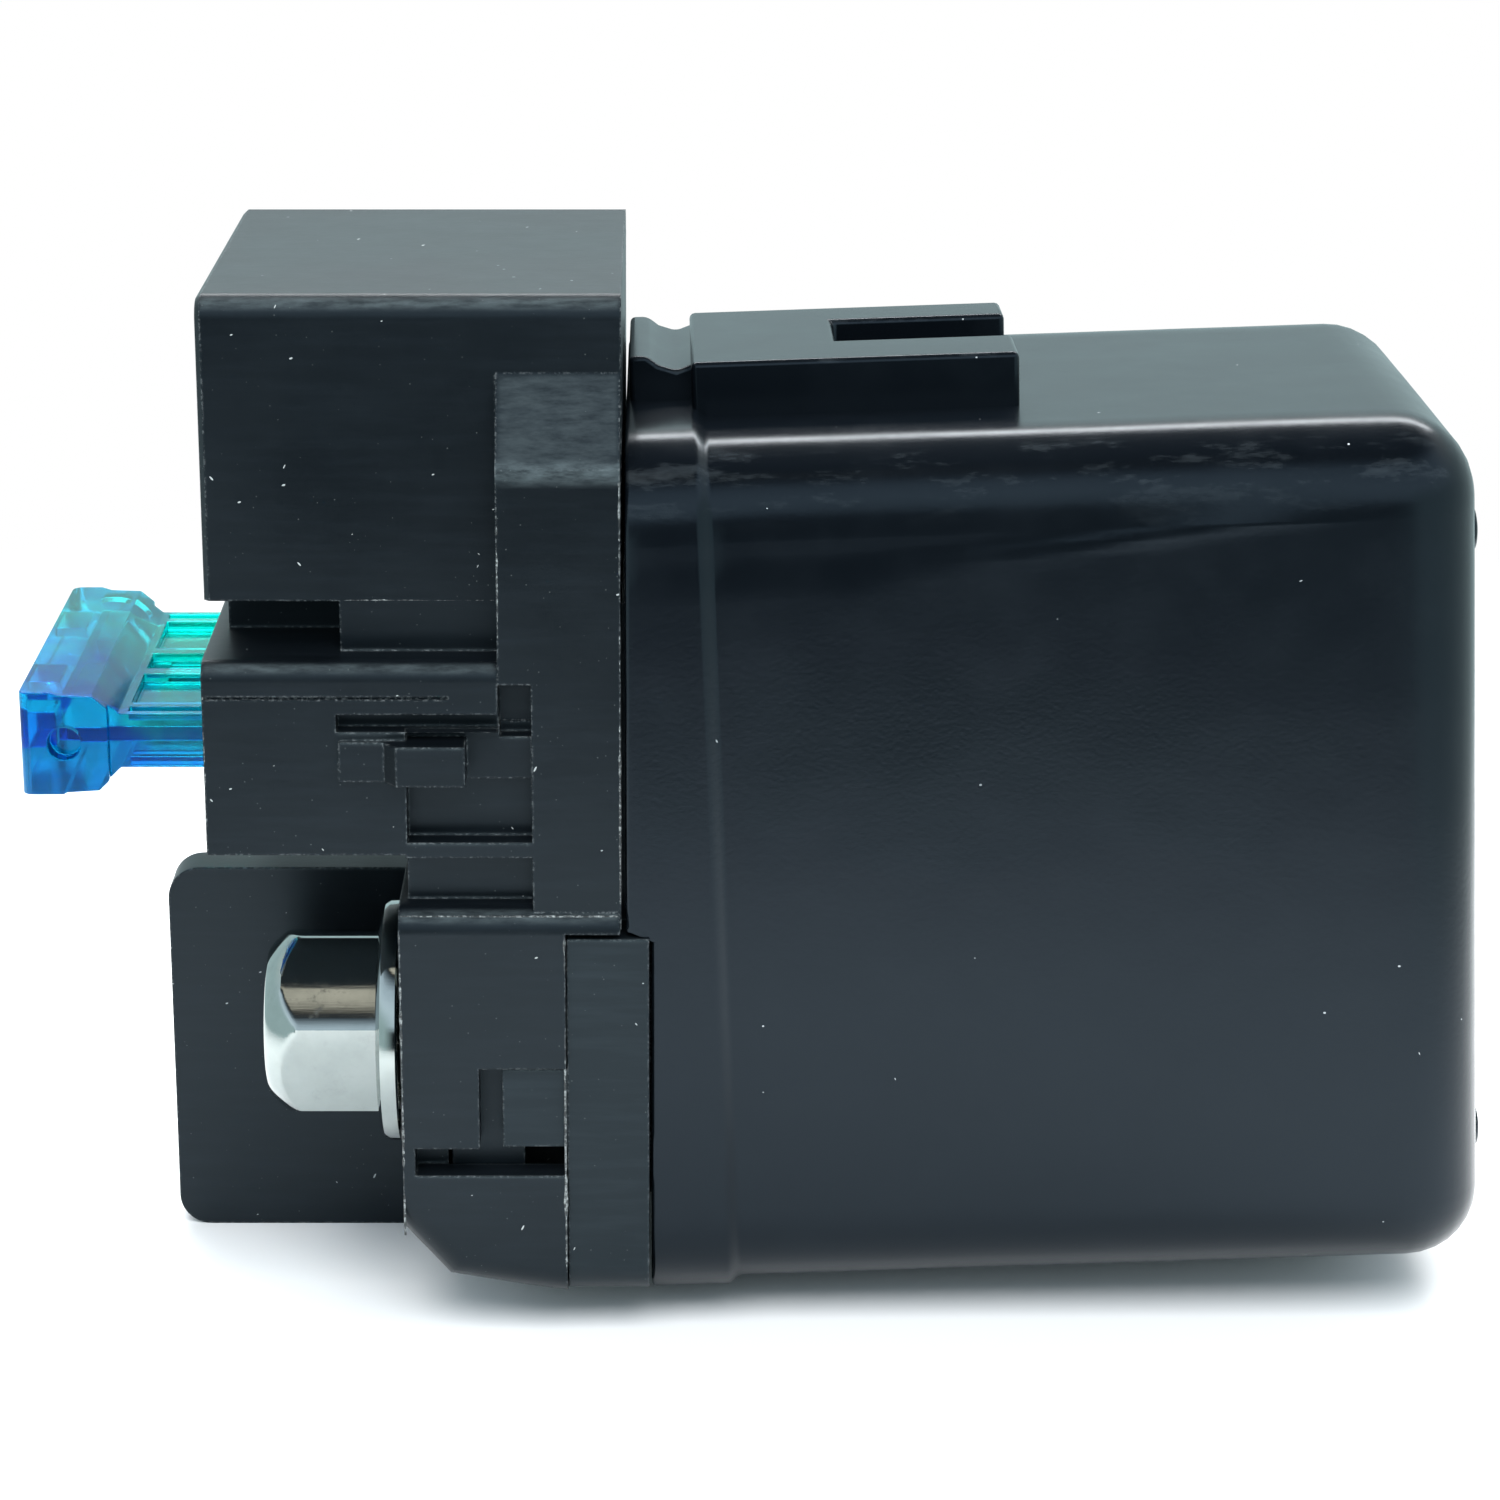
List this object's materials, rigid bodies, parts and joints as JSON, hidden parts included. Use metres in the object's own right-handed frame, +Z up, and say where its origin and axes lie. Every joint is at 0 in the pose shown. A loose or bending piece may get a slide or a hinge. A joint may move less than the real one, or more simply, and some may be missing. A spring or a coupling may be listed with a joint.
{
  "type": "vehicle starter relay with plug-in fuse",
  "caption": "Sealed starter relay in a rubber boot, with a moulded head holding a loom socket, a plug-in blade fuse and hexagon terminal bolts split by a barrier.",
  "frame": {"origin": "middle of the bounding box in plan, at its lowest edge (foot of the barrier)", "axes": "+X towards the closed end of the boot and along the solenoid, -X the way the fuse and terminal bolts come out, +Y across to the rear terminal, +Z up to the loom socket"},
  "size_m": [0.0708, 0.0308, 0.0507],
  "materials": {
    "head_plastic": "moulded glass-filled black plastic, fine grain, light scuffs",
    "cap_plastic": "moulded black plastic, slightly greyer",
    "boot_rubber": "soft black rubber with a dull sheen",
    "fuse_plastic": "clear tinted blue plastic, polished",
    "fuse_zinc": "plain zinc sheet",
    "bolt_plate": "bright nickel plate",
    "washer_plate": "zinc plate",
    "terminal_tin": "tinned brass",
    "contact_silver": "silver face",
    "pin_tin": "tinned brass strip",
    "lead_enamel": "enamelled copper",
    "diode_body": "moulded black",
    "gasket_rubber": "soft seal rubber",
    "can_steel": "drawn steel, thin zinc plate",
    "yoke_steel": "soft iron sheet",
    "iron": "turned soft iron",
    "bobbin_nylon": "natural nylon",
    "winding_copper": "enamelled copper wire, close wound",
    "wrap_tape": "polyester tape",
    "spring_steel": "music wire",
    "bridge_copper": "copper bar"
  },
  "bodies": {
    "relay_body": {"head_cover": "head_plastic", "relay_cap": "cap_plastic", "rubber_boot": "boot_rubber", "front_terminal": "terminal_tin", "rear_terminal": "terminal_tin", "front_contact": "contact_silver", "rear_contact": "contact_silver", "front_fuse_clip": "pin_tin", "rear_fuse_clip": "pin_tin", "bus_strip": "pin_tin", "power_pins": "pin_tin", "coil_pins": "pin_tin", "front_coil_lead": "lead_enamel", "rear_coil_lead": "lead_enamel", "suppression_diode": "diode_body", "cap_gasket": "gasket_rubber", "steel_can": "can_steel", "yoke_plate": "yoke_steel", "yoke_frame": "yoke_steel", "fixed_core": "iron", "coil_bobbin": "bobbin_nylon", "coil_winding": "winding_copper", "coil_wrap": "wrap_tape", "return_spring": "spring_steel"},
    "fuse": {"fuse_body": "fuse_plastic", "fuse_blades": "fuse_zinc"},
    "front_washer": {"front_washer": "washer_plate"},
    "front_bolt": {"front_bolt": "bolt_plate"},
    "rear_washer": {"rear_washer": "washer_plate"},
    "rear_bolt": {"rear_bolt": "bolt_plate"},
    "plunger": {"plunger": "iron", "push_rod": "spring_steel", "rod_collar": "spring_steel", "bridge_clip": "spring_steel", "contact_spring": "spring_steel"},
    "bridge": {"contact_bridge": "bridge_copper"}
  },
  "joints": [
    {"name": "fuse_pull", "type": "slide", "parent": "relay_body", "child": "fuse", "axis": [-1, 0, 0], "range_m": [0, 0.012]},
    {"name": "front_washer_lift", "type": "slide", "parent": "relay_body", "child": "front_washer", "axis": [-1, 0, 0], "range_m": [0, 0.004]},
    {"name": "front_bolt_turn", "type": "hinge", "parent": "front_washer", "child": "front_bolt", "pos_m": [-0.02099, -0.008, 0.014], "axis": [-1, 0, 0], "range_deg": [0, 1441]},
    {"name": "rear_washer_lift", "type": "slide", "parent": "relay_body", "child": "rear_washer", "axis": [-1, 0, 0], "range_m": [0, 0.004]},
    {"name": "rear_bolt_turn", "type": "hinge", "parent": "rear_washer", "child": "rear_bolt", "pos_m": [-0.02099, 0.008, 0.014], "axis": [-1, 0, 0], "range_deg": [0, 1441]},
    {"name": "plunger_slide", "type": "slide", "parent": "relay_body", "child": "plunger", "axis": [-1, 0, 0], "range_m": [0, 0.0024], "stiffness_N_per_m": 300, "springref_m": -0.002, "deforming": ["return_spring"]},
    {"name": "bridge_slide", "type": "slide", "parent": "relay_body", "child": "bridge", "axis": [-1, 0, 0], "range_m": [0, 0.00181], "deforming": ["contact_spring"]}
  ],
  "couplings": [
    {"joint": "front_bolt_turn", "follows": "front_washer_lift", "rad_per_m": 6283.2},
    {"joint": "rear_bolt_turn", "follows": "rear_washer_lift", "rad_per_m": 6283.2},
    {"joint": "bridge_slide", "follows": "plunger_slide", "ratio": 0.75}
  ]
}
